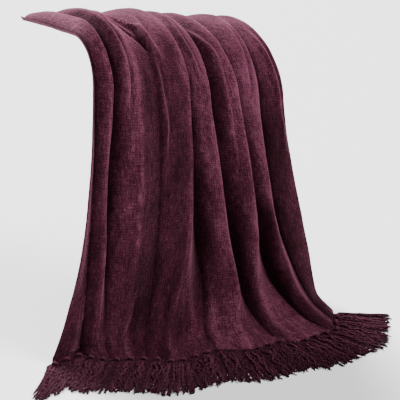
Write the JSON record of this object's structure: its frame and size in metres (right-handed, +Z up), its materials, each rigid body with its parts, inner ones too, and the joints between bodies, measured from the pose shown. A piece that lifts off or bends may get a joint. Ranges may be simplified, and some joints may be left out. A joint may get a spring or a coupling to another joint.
{
  "type": "hand-woven throw blanket",
  "caption": "Plum chenille throw that hangs in soft folds from a rounded edge down to the floor, with a knotted fringe along its lower hem.",
  "frame": {"origin": "on the crest of the edge that holds the throw up, under the cloth, near the middle of its width", "axes": "+X along the edge, to the right of someone who faces the throw; -Y points at them; +Z up, with the floor at Z = -1.03 m"},
  "size_m": [1.1889, 1.0624, 1.0593],
  "materials": {
    "woven_chenille": "soft crushed pile with fine crosswise ribs",
    "chenille_yarn": "crimped, furry yarn"
  },
  "bodies": {
    "root": {"throw": "woven_chenille", "tassel_01": "chenille_yarn", "tassel_02": "chenille_yarn", "tassel_03": "chenille_yarn", "tassel_04": "chenille_yarn", "tassel_05": "chenille_yarn", "tassel_06": "chenille_yarn", "tassel_07": "chenille_yarn", "tassel_08": "chenille_yarn", "tassel_09": "chenille_yarn", "tassel_10": "chenille_yarn", "tassel_11": "chenille_yarn", "tassel_12": "chenille_yarn", "tassel_13": "chenille_yarn", "tassel_14": "chenille_yarn", "tassel_15": "chenille_yarn", "tassel_16": "chenille_yarn", "tassel_17": "chenille_yarn", "tassel_18": "chenille_yarn", "tassel_19": "chenille_yarn", "tassel_20": "chenille_yarn", "tassel_21": "chenille_yarn", "tassel_22": "chenille_yarn", "tassel_23": "chenille_yarn", "tassel_24": "chenille_yarn", "tassel_25": "chenille_yarn", "tassel_26": "chenille_yarn"}
  },
  "joints": []
}
